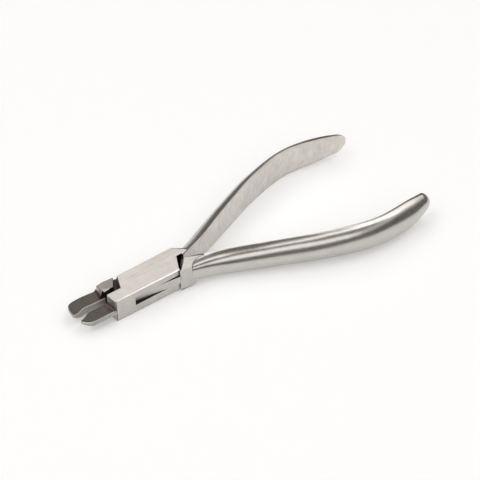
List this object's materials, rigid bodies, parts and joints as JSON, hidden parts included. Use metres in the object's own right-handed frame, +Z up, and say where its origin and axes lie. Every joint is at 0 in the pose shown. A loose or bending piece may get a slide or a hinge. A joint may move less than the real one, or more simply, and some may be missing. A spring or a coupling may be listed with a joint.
{
  "type": "crown and shell pliers",
  "caption": "Small stainless steel box-joint pliers with bowed handles and flat jaws, one tip full and one hollowed, for shaping dental crowns and shells.",
  "frame": {"origin": "on the pivot's axis, in the plane of the box's flat underside, at the centre of the pin's lower end", "axes": "+X from the jaws to the handles along the box, +Y to the half with the far handle, +Z up, along the pivot"},
  "size_m": [0.1367, 0.059, 0.0126],
  "materials": {
    "box_steel": "satin, with a long brushed grain on the box and a semi-polished handle",
    "tongue_steel": "satin on the box joint, semi-polished on the handle, dark matte on the jaw's upper face",
    "pin_steel": "riveted and ground flush, brushed"
  },
  "bodies": {
    "box_side": {"box_half": "box_steel", "pivot_pin": "pin_steel"},
    "tongue_side": {"tongue_half": "tongue_steel"}
  },
  "joints": [
    {"name": "pivot", "type": "hinge", "parent": "box_side", "child": "tongue_side", "pos_m": [0, 0, 0.00441], "axis": [0, 0, 1], "range_deg": [-20, 5.2]}
  ]
}
